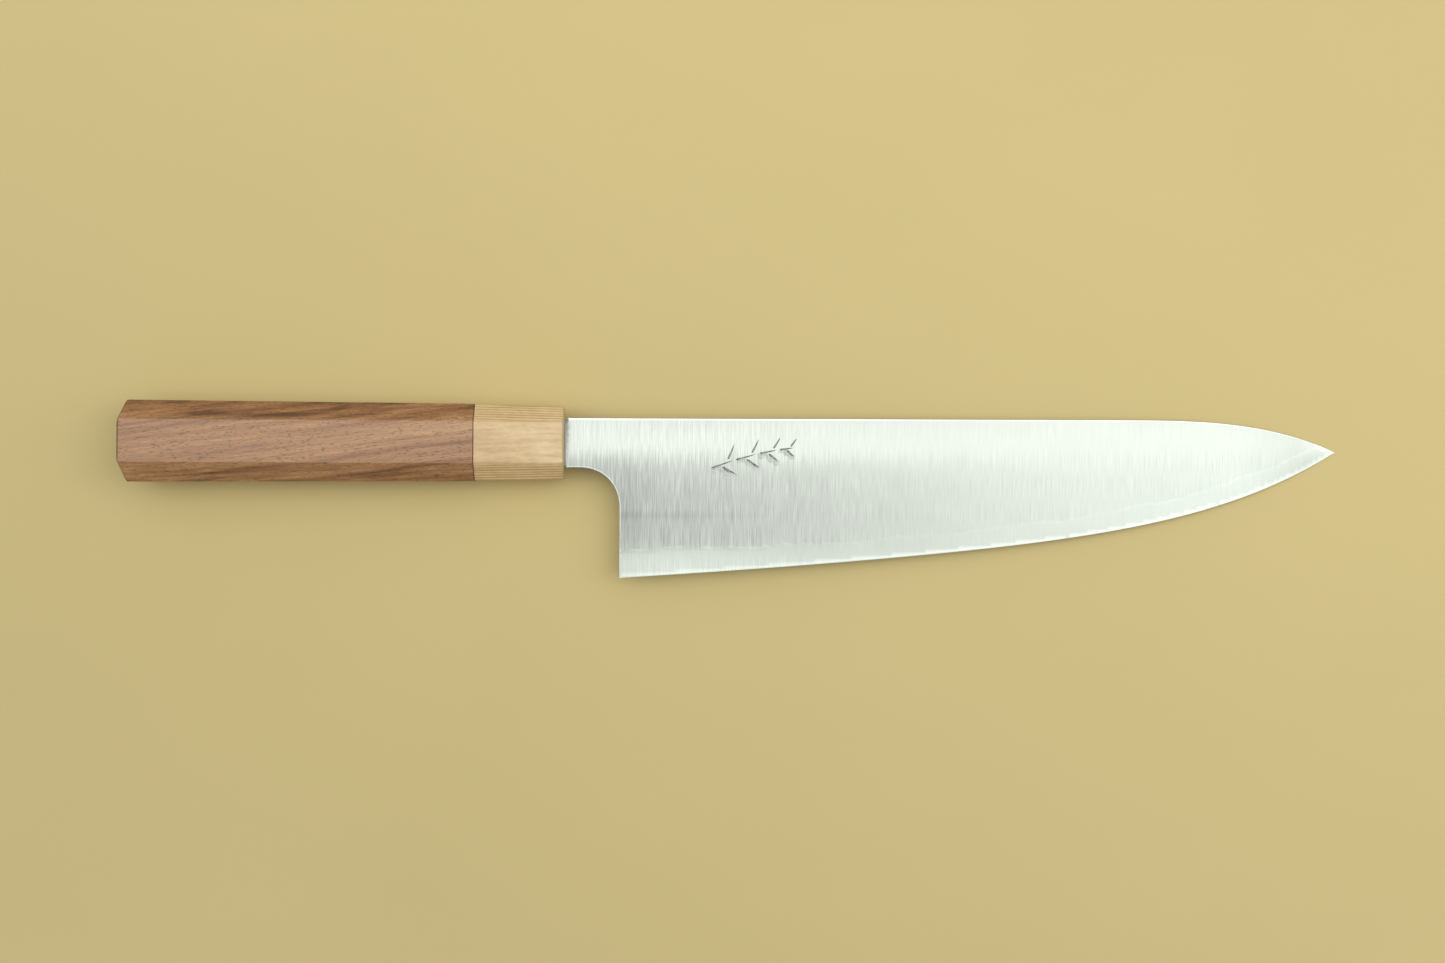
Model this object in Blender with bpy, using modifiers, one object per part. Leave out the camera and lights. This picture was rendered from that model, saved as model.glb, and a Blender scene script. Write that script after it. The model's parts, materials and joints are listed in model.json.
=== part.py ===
"""Japanese chef's knife: a laminated 240 mm blade on an octagonal wooden handle.

The knife is drawn level, in its own axes. X runs along the handle's axis to the tip and is 0 at the
ferrule's front face, Y points from the cutting edge to the spine, and the blade's middle plane is z = 0.
The empty "knife_axes" then lays the knife down as it rests on a table, on the ferrule's lower front rim
and on the tip of the blade, with its footprint centred on the world's origin. All lengths are in metres.
"""

import math

import bmesh
import bpy
from mathutils import Matrix, Vector

# Blade outline
BLADE_LENGTH = 0.2400  # heel to tip
HEEL_X = 0.0184
HEEL_Y = -0.04465
SPINE_Y = 0.00834
SPINE_RISE = 0.002  # the spine's slope before it drops to the tip
TIP_Y = -0.00175
SPINE_DROP_START_X = 0.1833
SPINE_DROP_POWER = 3.25
EDGE_RISE_STRAIGHT = 0.0150
EDGE_RISE_CURVED = 0.0085
EDGE_RISE_POWER = 6.2
SHOULDER_X = 0.0012
NECK_UNDERSIDE_Y = -0.00810
CHOIL_START_X = 0.0050
CHOIL_END_Y = -0.0220
CHOIL_HANDLE_X = 0.0076
CHOIL_HANDLE_Y = 0.0088
CHOIL_SEGMENTS = 12

# Blade section
THICKNESS_AT_FERRULE = 0.0033
THICKNESS_AT_TIP = 0.0008
CORE_THICKNESS_AT_FERRULE = 0.00104
CORE_THICKNESS_AT_TIP = 0.00047
PLY_GAP = 0.00003
EDGE_BEVEL_HEIGHT = 0.0004
EDGE_BEVEL_SLOPE = 0.25
SPINE_EASE = 0.0003
GRIND_STEPS = 6
STATION_SPACING = 0.006
TIP_STATION_SPACING = 0.003

# Tang
TANG_END_X = -0.100
TANG_HEIGHT_FRONT = 0.0124
TANG_HEIGHT_END = 0.0070
TANG_THICKNESS_FRONT = 0.0030
TANG_THICKNESS_END = 0.0020
TANG_CLEARANCE = 0.0001

# Handle: a size is an octagon's half height, its half thickness and the width of its corner bevels
BUTT_X = -0.1464
FERRULE_LENGTH = 0.0293
WOOD_JOINT_GAP = 0.0001
BUTT_SIZE = (0.01345, 0.01110, 0.00640)
JOINT_SIZE = (0.01275, 0.01050, 0.00580)
FERRULE_BACK_SIZE = (0.01250, 0.01025, 0.00570)
FERRULE_FRONT_SIZE = (0.01200, 0.00980, 0.00540)
BUTT_DOME_RADIUS = 0.0286
BUTT_DOME_RINGS = 8
FERRULE_RIM_RADIUS = 0.0008

# Hidden dowel and resin
DOWEL_RADIUS = 0.0080
DOWEL_CLEARANCE = 0.0003
DOWEL_FRONT_X = -0.0068
DOWEL_END_X = -0.1085
BORE_END_X = -0.1090
FERRULE_WALL = 0.0065
SLOT_HEIGHT = 0.0136
SLOT_THICKNESS = 0.0046
SLOT_END_X = -0.1030
RESIN_CLEARANCE = 0.0001
SEAL_BOTTOM_Y = -0.0078
SEAL_TOP_Y = 0.0080
SEAL_THICKNESS = 0.0050
SEAL_FACE_GAP = 0.00005
SEAL_SLEEVE_END_X = -0.0060
ROUND_SEGMENTS = 32
LAY_DOWN_PASSES = 4

TIP_X = HEEL_X + BLADE_LENGTH


def clear_scene():
    for obj in list(bpy.data.objects):
        bpy.data.objects.remove(obj, do_unlink=True)


def make_collection(name):
    collection = bpy.data.collections.new(name)
    bpy.context.scene.collection.children.link(collection)
    return collection


def make_material(name, colour, roughness, metallic=0.0):
    material = bpy.data.materials.new(name)
    material.use_nodes = True
    shader = material.node_tree.nodes["Principled BSDF"]
    shader.inputs["Base Color"].default_value = (*colour, 1.0)
    shader.inputs["Roughness"].default_value = roughness
    shader.inputs["Metallic"].default_value = metallic
    return material


def add_object(name, bm, collection, axes, material=None):
    """Turns a bmesh into an object that hangs on the knife's axes."""
    bmesh.ops.recalc_face_normals(bm, faces=bm.faces[:])
    mesh = bpy.data.meshes.new(name)
    bm.to_mesh(mesh)
    bm.free()
    obj = bpy.data.objects.new(name, mesh)
    obj.parent = axes
    collection.objects.link(obj)
    if material is None:
        obj.hide_render = True
        obj.display_type = "WIRE"
    else:
        mesh.materials.append(material)
    return obj


def add_boolean(obj, other, operation):
    modifier = obj.modifiers.new(f"{operation.lower()}_{other.name}", "BOOLEAN")
    modifier.operation = operation
    modifier.solver = "EXACT"
    modifier.object = other


def mix(start, end, share):
    return start + (end - start) * share


# Blade


def spine_y(x):
    run = max(0.0, (x - SPINE_DROP_START_X) / (TIP_X - SPINE_DROP_START_X))
    drop = SPINE_Y + SPINE_RISE * TIP_X - TIP_Y
    return SPINE_Y + SPINE_RISE * x - drop * run**SPINE_DROP_POWER


def edge_y(x):
    run = max(0.0, (x - HEEL_X) / BLADE_LENGTH)
    last_rise = TIP_Y - HEEL_Y - EDGE_RISE_STRAIGHT - EDGE_RISE_CURVED
    return (
        HEEL_Y
        + EDGE_RISE_STRAIGHT * run
        + EDGE_RISE_CURVED * run**2
        + last_rise * run**EDGE_RISE_POWER
    )


def blade_thickness(x):
    return mix(THICKNESS_AT_FERRULE, THICKNESS_AT_TIP, x / TIP_X)


def core_half_thickness(x):
    return mix(CORE_THICKNESS_AT_FERRULE, CORE_THICKNESS_AT_TIP, x / TIP_X) / 2


def section(x):
    """The blade's outline across X: the edge, up the right side, over the spine and down the left side."""
    bottom = edge_y(x)
    height = spine_y(x) - bottom
    bevel = min(EDGE_BEVEL_HEIGHT, 0.3 * height)
    ease = min(SPINE_EASE, 0.1 * height)
    shoulder = EDGE_BEVEL_SLOPE * bevel
    full = min(blade_thickness(x) / 2, shoulder + EDGE_BEVEL_SLOPE * height / 2)
    side = []
    for step in range(GRIND_STEPS + 1):
        rise = step / GRIND_STEPS * (1 - ease / (height - bevel))
        half = mix(shoulder, full, 1 - (1 - rise) ** 2)
        side.append((bottom + bevel + rise * (height - bevel), half))
    side.append((bottom + height, side[-1][1] - ease))
    right = [Vector((x, y, half)) for y, half in side]
    left = [Vector((x, y, -half)) for y, half in reversed(side)]
    return [Vector((x, bottom, 0.0)), *right, *left]


def stations():
    """Places along the blade, closer together where the outline curves up to the tip."""
    straight = round((SPINE_DROP_START_X - SHOULDER_X) / STATION_SPACING)
    curved = round((TIP_X - SPINE_DROP_START_X) / TIP_STATION_SPACING)
    places = [mix(SHOULDER_X, SPINE_DROP_START_X, i / straight) for i in range(straight)]
    places += [mix(SPINE_DROP_START_X, TIP_X, i / curved) for i in range(curved)]
    return places


def blade_loft():
    bm = bmesh.new()
    rings = [[bm.verts.new(point) for point in section(x)] for x in stations()]
    tip = bm.verts.new((TIP_X, TIP_Y, 0.0))
    count = len(rings[0])
    for near, far in zip(rings, rings[1:]):
        for i in range(count):
            j = (i + 1) % count
            bm.faces.new((near[i], near[j], far[j], far[i]))
    for i in range(count):
        bm.faces.new((rings[-1][i], rings[-1][(i + 1) % count], tip))
    bm.faces.new(rings[0])
    return bm


def tapered_bar(x_end, x_front, end_size, front_size, middle_y=0.0):
    """A bar along X with a rectangular section of (height, thickness) that changes evenly."""
    bm = bmesh.new()
    bmesh.ops.create_cube(bm, size=1.0)
    for vert in bm.verts:
        at_front = vert.co.x > 0
        height, thickness = front_size if at_front else end_size
        vert.co.x = x_front if at_front else x_end
        vert.co.y = middle_y + vert.co.y * height
        vert.co.z *= thickness
    return bm


def tang_bar(clearance, x_front):
    """The tang, or with a clearance the space round it, from its end to a place in front of the shoulder."""
    share = (x_front - TANG_END_X) / (SHOULDER_X - TANG_END_X)
    front_height = mix(TANG_HEIGHT_END, TANG_HEIGHT_FRONT, share)
    front_thickness = mix(TANG_THICKNESS_END, TANG_THICKNESS_FRONT, share)
    end_size = (TANG_HEIGHT_END + 2 * clearance, TANG_THICKNESS_END + 2 * clearance)
    front_size = (front_height + 2 * clearance, front_thickness + 2 * clearance)
    return tapered_bar(TANG_END_X - clearance, x_front, end_size, front_size)


def choil_curve():
    """The finger notch's round corner, from the neck's underside down to the straight heel."""
    points = (
        Vector((CHOIL_START_X, NECK_UNDERSIDE_Y)),
        Vector((CHOIL_START_X + CHOIL_HANDLE_X, NECK_UNDERSIDE_Y)),
        Vector((HEEL_X, CHOIL_END_Y + CHOIL_HANDLE_Y)),
        Vector((HEEL_X, CHOIL_END_Y)),
    )
    curve = []
    for step in range(CHOIL_SEGMENTS + 1):
        t = step / CHOIL_SEGMENTS
        weights = ((1 - t) ** 3, 3 * t * (1 - t) ** 2, 3 * t**2 * (1 - t), t**3)
        curve.append(sum((w * p for w, p in zip(weights, points)), Vector((0.0, 0.0))))
    return curve


def notch_prism():
    """The space in front of the ferrule that the finger notch leaves open."""
    reach = 0.01
    below = HEEL_Y - reach
    outline = [Vector((SHOULDER_X - reach, NECK_UNDERSIDE_Y)), *choil_curve()]
    outline += [Vector((HEEL_X, below)), Vector((SHOULDER_X - reach, below))]
    bm = bmesh.new()
    face = bm.faces.new([bm.verts.new((p.x, p.y, -reach)) for p in outline])
    lifted = bmesh.ops.extrude_face_region(bm, geom=[face])["geom"]
    verts = [item for item in lifted if isinstance(item, bmesh.types.BMVert)]
    bmesh.ops.translate(bm, verts=verts, vec=(0.0, 0.0, 2 * reach))
    return bm


def ply_slab(side):
    """A flat tapered slab that cuts one ply out of the blade: side is 0 for the core, 1 right or -1 left."""
    reach = 0.02
    outside = 0.005
    bm = bmesh.new()
    bmesh.ops.create_cube(bm, size=2.0)
    for vert in bm.verts:
        x = TIP_X + reach if vert.co.x > 0 else TANG_END_X - reach
        core = core_half_thickness(min(x, TIP_X))
        y = SPINE_Y + reach if vert.co.y > 0 else HEEL_Y - reach
        if side == 0:
            z = core if vert.co.z > 0 else -core
        else:
            z = side * (outside if vert.co.z > 0 else core + PLY_GAP)
        vert.co = Vector((x, y, z))
    return bm


def build_blade(parts, cutters, axes):
    form = add_object("blade_form", blade_loft(), cutters, axes)
    tang = add_object("tang_form", tang_bar(0.0, SHOULDER_X + 0.002), cutters, axes)
    notch = add_object("notch_space", notch_prism(), cutters, axes)
    add_boolean(form, tang, "UNION")
    add_boolean(form, notch, "DIFFERENCE")

    core_steel = make_material("core_steel", (0.66, 0.68, 0.67), 0.28, 1.0)
    cladding_steel = make_material("cladding_steel", (0.60, 0.62, 0.61), 0.38, 1.0)
    plies = (
        ("blade_core", 0, core_steel),
        ("blade_cladding_right", 1, cladding_steel),
        ("blade_cladding_left", -1, cladding_steel),
    )
    for name, side, steel in plies:
        ply = add_object(name, ply_slab(side), parts, axes, steel)
        add_boolean(ply, form, "INTERSECT")


# Handle


def octagon(x, size):
    """Corners of the handle's section at x, in order round its axis."""
    half_height, half_thickness, bevel = size
    flat_y = half_height - bevel
    flat_z = half_thickness - bevel
    quarter = ((half_height, flat_z), (flat_y, half_thickness))
    corners = [*quarter]
    corners += [(-y, z) for y, z in reversed(quarter)]
    corners += [(-y, -z) for y, z in quarter]
    corners += [(y, -z) for y, z in reversed(quarter)]
    return [Vector((x, y, z)) for y, z in corners]


def octagon_bar(x_end, x_front, end_size, front_size, rim_radius=0.0):
    """A length of the tapered handle, with its front rim rounded if a radius is given."""
    end = octagon(x_end, end_size)
    bm = bmesh.new()
    face = bm.faces.new([bm.verts.new(point) for point in end])
    lifted = bmesh.ops.extrude_face_region(bm, geom=[face])["geom"]
    front = [item for item in lifted if isinstance(item, bmesh.types.BMVert)]
    for vert in front:
        near = min(end, key=lambda corner: (corner - vert.co).length)
        vert.co = octagon(x_front, front_size)[end.index(near)]
    if rim_radius:
        rim = [edge for edge in bm.edges if all(vert in front for vert in edge.verts)]
        bmesh.ops.bevel(bm, geom=rim, offset=rim_radius, segments=3, profile=0.5, affect="EDGES")
    return bm


def rod(x_end, x_front, radius):
    """A round bar along X."""
    bm = bmesh.new()
    turn = Matrix.Rotation(math.pi / 2, 4, "Y")
    place = Matrix.Translation(((x_end + x_front) / 2, 0.0, 0.0))
    bmesh.ops.create_cone(
        bm,
        cap_ends=True,
        segments=ROUND_SEGMENTS,
        radius1=radius,
        radius2=radius,
        depth=x_front - x_end,
        matrix=place @ turn,
    )
    return bm


def butt_dome(cutters, axes):
    """A turned solid that is larger than the handle everywhere but at the butt, which it rounds."""
    outer = 0.020
    reach = 0.002
    centre = BUTT_DOME_RADIUS
    widest = math.asin(outer / BUTT_DOME_RADIUS)
    profile = [Vector((0.0, 0.0, -BUTT_X + reach)), Vector((outer, 0.0, -BUTT_X + reach))]
    for step in range(BUTT_DOME_RINGS + 1):
        angle = widest * (1 - step / BUTT_DOME_RINGS)
        radius = BUTT_DOME_RADIUS * math.sin(angle)
        profile.append(Vector((radius, 0.0, centre - BUTT_DOME_RADIUS * math.cos(angle))))
    bm = bmesh.new()
    verts = [bm.verts.new(point) for point in profile]
    for upper, lower in zip(verts, verts[1:]):
        bm.edges.new((upper, lower))
    dome = add_object("butt_dome", bm, cutters, axes)
    dome.location = (BUTT_X, 0.0, 0.0)
    dome.rotation_euler = (0.0, math.pi / 2, 0.0)
    screw = dome.modifiers.new("turn", "SCREW")
    screw.axis = "Z"
    screw.steps = ROUND_SEGMENTS
    screw.render_steps = ROUND_SEGMENTS
    screw.use_merge_vertices = True
    screw.merge_threshold = 0.00001
    return dome


def build_handle(parts, cutters, axes):
    walnut = make_material("walnut", (0.27, 0.13, 0.06), 0.5)
    pale_wood = make_material("pale_wood", (0.68, 0.45, 0.24), 0.5)
    dowel_wood = make_material("dowel_wood", (0.72, 0.55, 0.36), 0.7)
    joint_x = -FERRULE_LENGTH

    bore = rod(BORE_END_X, joint_x + 0.001, DOWEL_RADIUS + DOWEL_CLEARANCE)
    bore_cutter = add_object("handle_bore", bore, cutters, axes)
    body_bar = octagon_bar(BUTT_X - 0.001, joint_x - WOOD_JOINT_GAP, BUTT_SIZE, JOINT_SIZE)
    body = add_object("handle_body", body_bar, parts, axes, walnut)
    add_boolean(body, butt_dome(cutters, axes), "INTERSECT")
    add_boolean(body, bore_cutter, "DIFFERENCE")

    bore = rod(joint_x - 0.001, -FERRULE_WALL, DOWEL_RADIUS + DOWEL_CLEARANCE)
    ferrule_bore = add_object("ferrule_bore", bore, cutters, axes)
    slot = tapered_bar(-0.01, 0.01, (SLOT_HEIGHT, SLOT_THICKNESS), (SLOT_HEIGHT, SLOT_THICKNESS))
    ferrule_slot = add_object("ferrule_slot", slot, cutters, axes)
    ferrule_bar = octagon_bar(
        joint_x, 0.0, FERRULE_BACK_SIZE, FERRULE_FRONT_SIZE, FERRULE_RIM_RADIUS
    )
    ferrule = add_object("ferrule", ferrule_bar, parts, axes, pale_wood)
    add_boolean(ferrule, ferrule_bore, "DIFFERENCE")
    add_boolean(ferrule, ferrule_slot, "DIFFERENCE")

    slot = tapered_bar(SLOT_END_X, 0.0, (SLOT_HEIGHT, SLOT_THICKNESS), (SLOT_HEIGHT, SLOT_THICKNESS))
    dowel_slot = add_object("dowel_slot", slot, cutters, axes)
    dowel_bar = rod(DOWEL_END_X, DOWEL_FRONT_X, DOWEL_RADIUS)
    dowel = add_object("handle_dowel", dowel_bar, parts, axes, dowel_wood)
    add_boolean(dowel, dowel_slot, "DIFFERENCE")


def build_resin(parts, cutters, axes):
    """The epoxy round the tang in the dowel, and the seal that closes the mouth in the ferrule."""
    tang_space = add_object("tang_space", tang_bar(TANG_CLEARANCE, 0.01), cutters, axes)
    filling_size = (SLOT_HEIGHT - 2 * RESIN_CLEARANCE, SLOT_THICKNESS - 2 * RESIN_CLEARANCE)

    epoxy = make_material("epoxy", (0.72, 0.62, 0.42), 0.25)
    filling = tapered_bar(SLOT_END_X + RESIN_CLEARANCE, DOWEL_FRONT_X, filling_size, filling_size)
    tang_epoxy = add_object("tang_epoxy", filling, parts, axes, epoxy)
    add_boolean(tang_epoxy, tang_space, "DIFFERENCE")

    grey_resin = make_material("grey_resin", (0.24, 0.24, 0.20), 0.45)
    collar_size = (SEAL_TOP_Y - SEAL_BOTTOM_Y, SEAL_THICKNESS)
    collar_x = SHOULDER_X - RESIN_CLEARANCE
    collar_y = (SEAL_TOP_Y + SEAL_BOTTOM_Y) / 2
    collar = tapered_bar(SEAL_FACE_GAP, collar_x, collar_size, collar_size, collar_y)
    sleeve = tapered_bar(SEAL_SLEEVE_END_X, collar_x / 2, filling_size, filling_size)
    seal_sleeve = add_object("seal_sleeve", sleeve, cutters, axes)
    seal = add_object("mouth_seal", collar, parts, axes, grey_resin)
    add_boolean(seal, seal_sleeve, "UNION")
    add_boolean(seal, tang_space, "DIFFERENCE")


def world_points(objects):
    bpy.context.view_layer.update()
    depsgraph = bpy.context.evaluated_depsgraph_get()
    solids = [obj.evaluated_get(depsgraph) for obj in objects]
    return [solid.matrix_world @ vert.co for solid in solids for vert in solid.data.vertices]


def lay_down(parts, axes):
    """Pitches the knife until the ferrule's rim and the blade are level, and centres its footprint."""
    ferrule = [obj for obj in parts.objects if obj.name == "ferrule"]
    blade = [obj for obj in parts.objects if obj.name.startswith("blade")]
    axes.rotation_euler.y = math.atan2(FERRULE_FRONT_SIZE[1], TIP_X)
    for _ in range(LAY_DOWN_PASSES):
        rim = min(world_points(ferrule), key=lambda point: point.z)
        ahead = [point for point in world_points(blade) if point.x > HEEL_X]
        tip = min(ahead, key=lambda point: point.z)
        axes.rotation_euler.y += math.atan2(tip.z - rim.z, tip.x - rim.x)
    points = world_points(parts.objects)
    lows = [min(point[i] for point in points) for i in range(3)]
    highs = [max(point[i] for point in points) for i in range(3)]
    axes.location = (-(lows[0] + highs[0]) / 2, -(lows[1] + highs[1]) / 2, -lows[2])


def main():
    clear_scene()
    parts = make_collection("chef_knife")
    cutters = make_collection("cutters")
    axes = bpy.data.objects.new("knife_axes", None)
    bpy.context.scene.collection.objects.link(axes)
    build_blade(parts, cutters, axes)
    build_handle(parts, cutters, axes)
    build_resin(parts, cutters, axes)
    lay_down(parts, axes)


main()
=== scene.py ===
"""The looks of the chef's knife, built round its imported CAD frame.

Every shape is drawn in the knife's own axes, in metres. X runs along the handle's axis to the tip and is 0
at the ferrule's front face, Y points from the cutting edge to the spine, and the blade's middle plane is
z = 0. knife_axes() reads from the frame how the knife lies on the floor.
"""

import json
import math

import bmesh
import bpy
import numpy as np
from mathutils import Matrix, Vector, geometry


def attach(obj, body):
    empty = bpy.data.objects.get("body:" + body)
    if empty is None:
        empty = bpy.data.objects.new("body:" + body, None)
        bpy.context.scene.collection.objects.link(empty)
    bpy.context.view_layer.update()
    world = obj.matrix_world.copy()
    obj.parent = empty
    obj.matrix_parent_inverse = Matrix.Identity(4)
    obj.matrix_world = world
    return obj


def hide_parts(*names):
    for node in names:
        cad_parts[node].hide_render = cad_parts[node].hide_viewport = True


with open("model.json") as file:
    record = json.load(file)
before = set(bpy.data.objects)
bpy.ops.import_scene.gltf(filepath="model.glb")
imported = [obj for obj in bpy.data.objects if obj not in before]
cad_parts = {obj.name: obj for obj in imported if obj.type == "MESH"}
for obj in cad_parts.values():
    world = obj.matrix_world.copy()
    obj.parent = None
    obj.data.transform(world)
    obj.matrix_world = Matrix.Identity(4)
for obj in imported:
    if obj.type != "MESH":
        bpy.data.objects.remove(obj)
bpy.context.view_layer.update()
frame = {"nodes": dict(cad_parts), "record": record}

MM = 0.001

# Blade outline, as in the CAD model
BLADE_LENGTH = 240.0 * MM
HEEL_X = 18.4 * MM
HEEL_Y = -44.59 * MM
SPINE_Y = 8.34 * MM
SPINE_RISE = 0.002  # the spine's slope before it drops to the tip
TIP_X = HEEL_X + BLADE_LENGTH
TIP_Y = -1.75 * MM
SPINE_DROP_START_X = 183.3 * MM
SPINE_DROP_POWER = 3.25
EDGE_RISE_STRAIGHT = 15.0 * MM
EDGE_RISE_CURVED = 8.5 * MM
EDGE_RISE_POWER = 6.2
SHOULDER_X = 0.65 * MM
SHOULDER_CORNER = 0.35 * MM
NECK_UNDERSIDE_Y = -8.1 * MM
CHOIL_START_X = 5.0 * MM
CHOIL_END_Y = -22.0 * MM
CHOIL_HANDLE_X = 7.6 * MM
CHOIL_HANDLE_Y = 8.8 * MM

# Blade section
THICKNESS_AT_FERRULE = 3.3 * MM
THICKNESS_AT_TIP = 0.8 * MM
CORE_THICKNESS_AT_FERRULE = 1.04 * MM
CORE_THICKNESS_AT_TIP = 0.47 * MM
PLY_GAP = 0.03 * MM
CLADDING_LEAST = 0.06 * MM  # thickness the cladding keeps above the lamination line
EDGE_BEVEL_HEIGHT = 0.35 * MM
EDGE_BEVEL_SLOPE = 0.08
EASE_SHARE = 0.30  # width of the rubbed edges, as a share of the half thickness
EASE_DEPTH = 0.2  # depth of the rubbed edges, as a share of their width
LINE_ABOVE_HEEL = 9.2 * MM
LINE_ABOVE_EDGE = 6.7 * MM
LINE_BLEND = 1.5 * MM

# Spacing of the blade's points
BLADE_GRID = 1.3 * MM
NOTCH_STEP = 0.6 * MM
SPINE_STEP = 1.2 * MM
EDGE_STEP = 1.0 * MM
LINE_STEP = 0.7 * MM
TIP_STEP = 0.5 * MM  # from TIP_STEP_X on
TIP_STEP_X = 235.0 * MM
CORNER_POINTS = 7

# Ornament
SPRIG_START = Vector((48.6, -8.0)) * MM
SPRIG_HEADING = 19  # degrees
SPRIG_BEND = 4  # degrees that each stroke of the stem turns down
SPRIG_STROKES = (8.8, 8.0, 7.0, 5.2)  # lengths in millimetres
STEM_WIDTH = 0.72 * MM
LEAF_WIDTH = 0.86 * MM
LEAF_TURN = 48  # degrees
LEAF_LENGTH = 0.62  # as a share of its stroke
CUT_HEAD_SHARE = 0.16
CUT_TAIL_POWER = 0.6
BURR_OFFSET = 0.09 * MM
BURR_WIDTH = 0.07 * MM
BURR_HEIGHT = 0.035 * MM

# Tang
TANG_END_X = -100.0 * MM
TANG_HEIGHT_FRONT = 12.4 * MM
TANG_HEIGHT_END = 7.0 * MM
TANG_THICKNESS_FRONT = 3.0 * MM
TANG_THICKNESS_END = 2.0 * MM
TANG_CLEARANCE = 0.1 * MM

# Handle
BUTT_X = -145.55 * MM
FERRULE_LENGTH = 29.3 * MM
WOOD_JOINT_GAP = 0.1 * MM
BUTT_SIZE = np.array((13.44, 11.07, 6.40)) * MM  # half height, half thickness and bevel of the octagon
JOINT_SIZE = np.array((12.75, 10.50, 5.80)) * MM
FERRULE_BACK_SIZE = np.array((12.50, 10.25, 5.70)) * MM
FERRULE_FRONT_SIZE = np.array((12.00, 9.80, 5.40)) * MM
BUTT_DOME_DEPTH = 2.8 * MM  # how far ahead of its middle the butt's end lies at its upper and lower sides
BUTT_DOME_POWER = 3.3
BUTT_DOME_FLATNESS = 0.8  # how much the butt is domed across the handle's thickness, against its height
BUTT_RIM_EASE = 0.55 * MM
FACET_EDGE_EASE = 0.5 * MM
JOINT_EASE = 0.12 * MM
FERRULE_RIM_RADIUS = 0.8 * MM
BORE_RADIUS = 8.3 * MM
BORE_END_X = -109.0 * MM
FERRULE_WALL = 6.5 * MM
SLOT_HEIGHT = 13.6 * MM
SLOT_THICKNESS = 4.6 * MM

# Sky: brightness as a share of SKY_STRENGTH, at angles from overhead in degrees that grow towards the spine
SKY_STRENGTH = 3.39
SKY_EDGE_SIDE = ((-90, 0.08), (-60, 0.09), (-45, 0.07), (-30, 0.09), (-20, 0.18), (-12, 0.37))
SKY_SPINE_SIDE = (
    (7, 0.86),
    (9, 0.74),
    (14, 0.64),
    (20, 0.50),
    (27, 0.36),
    (36, 0.25),
    (50, 0.14),
    (90, 0.07),
)
# Past the two ends of the dimmer panel that the blade mirrors
SKY_ENDS = (*SKY_EDGE_SIDE, (-6.5, 0.50), (-5, 0.70), (-2, 0.92), (0, 1.0), (5, 1.0), *SKY_SPINE_SIDE)
# The panel on the handle's side, where the blade's grey zone and bright band come from
SKY_NEAR = (
    *SKY_EDGE_SIDE,
    (-8.8, 0.50),
    (-8.1, 0.49),
    (-7.2, 0.31),
    (-4.5, 0.315),
    (-1.8, 0.35),
    (-1.2, 0.43),
    (-0.6, 0.61),
    (0.3, 0.64),
    (1.8, 0.52),
    (4, 0.53),
    *SKY_SPINE_SIDE,
)
# The panel on the tip's side
SKY_FAR = (*SKY_EDGE_SIDE, (-9, 0.60), (-8, 0.65), (0, 0.675), (4, 0.65), *SKY_SPINE_SIDE)
SKY_TURN = (0.08, 0.27)  # from SKY_NEAR to SKY_FAR, as the direction's share along X
# Share of the panel, and brightness, from the butt's end of the sky (0) to the tip's end (1)
SKY_PANEL = ((0.0, 0.0), (0.31, 0.0), (0.37, 1.0), (0.73, 1.0), (0.78, 0.0), (1.0, 0.0))
SKY_ALONG = ((0.0, 0.35), (0.12, 0.7), (0.3, 1.0), (0.75, 1.0), (0.92, 0.7), (1.0, 0.35))
SKY_WALLS = 0.10  # the plain walls below the sky
SKY_WALL_TOP = (0.22, 0.5)  # where the walls turn to sky, as sines of elevation

# Camera, over this place in the knife's axes and this far above it
CAMERA_OVER = Vector((52.5, -12.45, 0.0)) * MM
CAMERA_HEIGHT = 667.6 * MM
CAMERA_TURN = 0.00485
CAMERA_LENS = 50.0
FLOOR_HALF_SIZE = 3.0

# Noises: where nearly all of one's values lie, and where those of several added together do
NOISE_RANGE = (0.3, 0.7)
TONE_RANGE = (0.31, 0.69)

# Darker streaks in the walnut: middle, width and depth, in millimetres across the grain and in tone
DARK_STREAKS = ((22.2, 0.8, 0.13), (19.9, 1.1, 0.11), (14.6, 0.7, 0.07), (-2.5, 0.8, 0.06))

# Resin seal
SEAL_BACK_X = 0.05 * MM
SEAL_FRONT_X = 0.55 * MM
SEAL_END_X = -6.0 * MM
SEAL_MIDDLE_Y = 0.1 * MM
SEAL_HALF_HEIGHT = 7.9 * MM
SEAL_HALF_THICKNESS = 2.5 * MM
SEAL_DRAWN_IN = 0.75 * MM


def knife_axes():
    """Where the knife's own axes lie in the frame, from the handle's two flats and the ferrule."""
    normals = {mount["name"]: Vector(mount["axis"]) for mount in frame["record"]["mounts"]}
    up = (normals["handle_upper_flat"] - normals["handle_lower_flat"]).normalized()
    side = Vector((0.0, 1.0, 0.0))
    turn = Matrix((side.cross(up), side, up)).transposed()
    points = [turn.transposed() @ vert.co for vert in frame["nodes"]["ferrule"].data.vertices]
    lows = [min(point[i] for point in points) for i in range(3)]
    highs = [max(point[i] for point in points) for i in range(3)]
    origin = Vector((highs[0], (lows[1] + highs[1]) / 2, (lows[2] + highs[2]) / 2))
    return Matrix.Translation(turn @ origin) @ turn.to_4x4()


AXES = knife_axes()


def add_axes():
    """An empty on the knife's axes, which the materials read their coordinates from."""
    axes = bpy.data.objects.new("knife_axes", None)
    bpy.context.scene.collection.objects.link(axes)
    axes.matrix_world = AXES
    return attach(axes, "root")


axes_empty = add_axes()


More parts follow.
